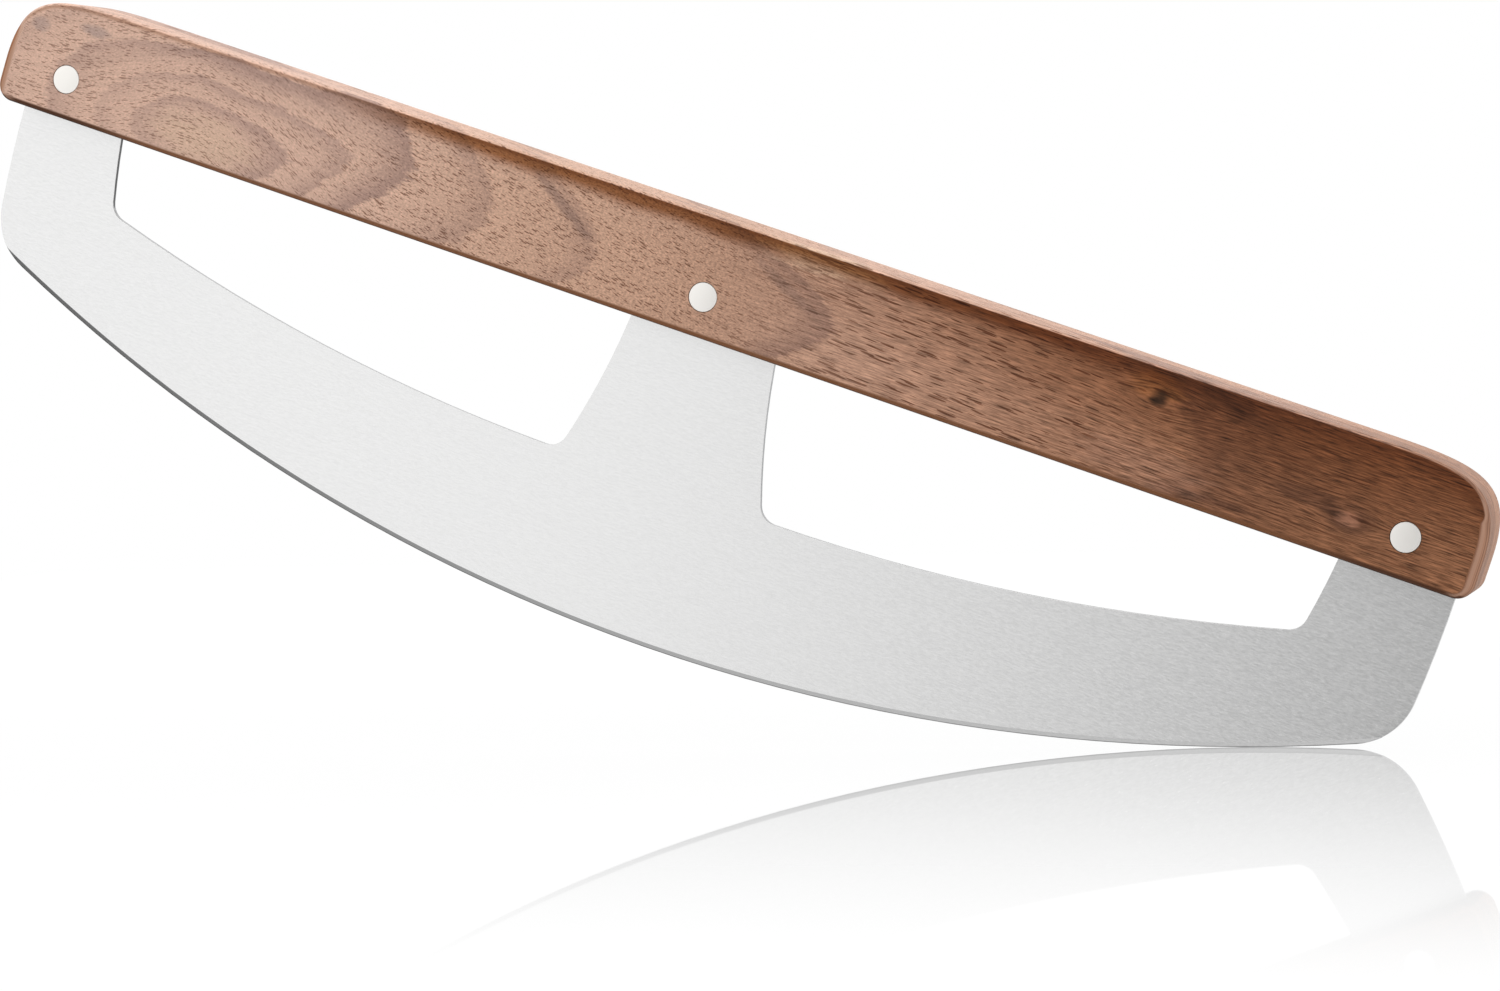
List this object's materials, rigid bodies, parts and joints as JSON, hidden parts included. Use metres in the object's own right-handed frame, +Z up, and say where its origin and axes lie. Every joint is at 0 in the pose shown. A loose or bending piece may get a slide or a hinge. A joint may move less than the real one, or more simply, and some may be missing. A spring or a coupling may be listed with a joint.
{
  "type": "mezzaluna",
  "caption": "Rocking knife with a crescent steel blade on tangs under a straight walnut bar handle, open finger windows between the tangs, for chopping herbs or cutting pizza.",
  "frame": {"origin": "lowest point of the cutting edge, at mid-length and mid-thickness of the knife held level over a board", "axes": "+X along the handle to the right as seen from the front, +Y from the front to the back across the thickness, +Z up from the cutting edge to the top of the handle"},
  "size_m": [0.36, 0.0196, 0.0986],
  "materials": {
    "steel": "fine brushed along the handle, ground bevel at the edge",
    "walnut": "satin lacquered walnut, grain along the handle",
    "rivet": "satin, ground flush with the wood"
  },
  "bodies": {
    "root": {"blade": "steel", "front_scale": "walnut", "back_scale": "walnut", "left_rivet_tube": "rivet", "left_rivet_pin": "rivet", "centre_rivet_tube": "rivet", "centre_rivet_pin": "rivet", "right_rivet_tube": "rivet", "right_rivet_pin": "rivet"}
  },
  "joints": []
}
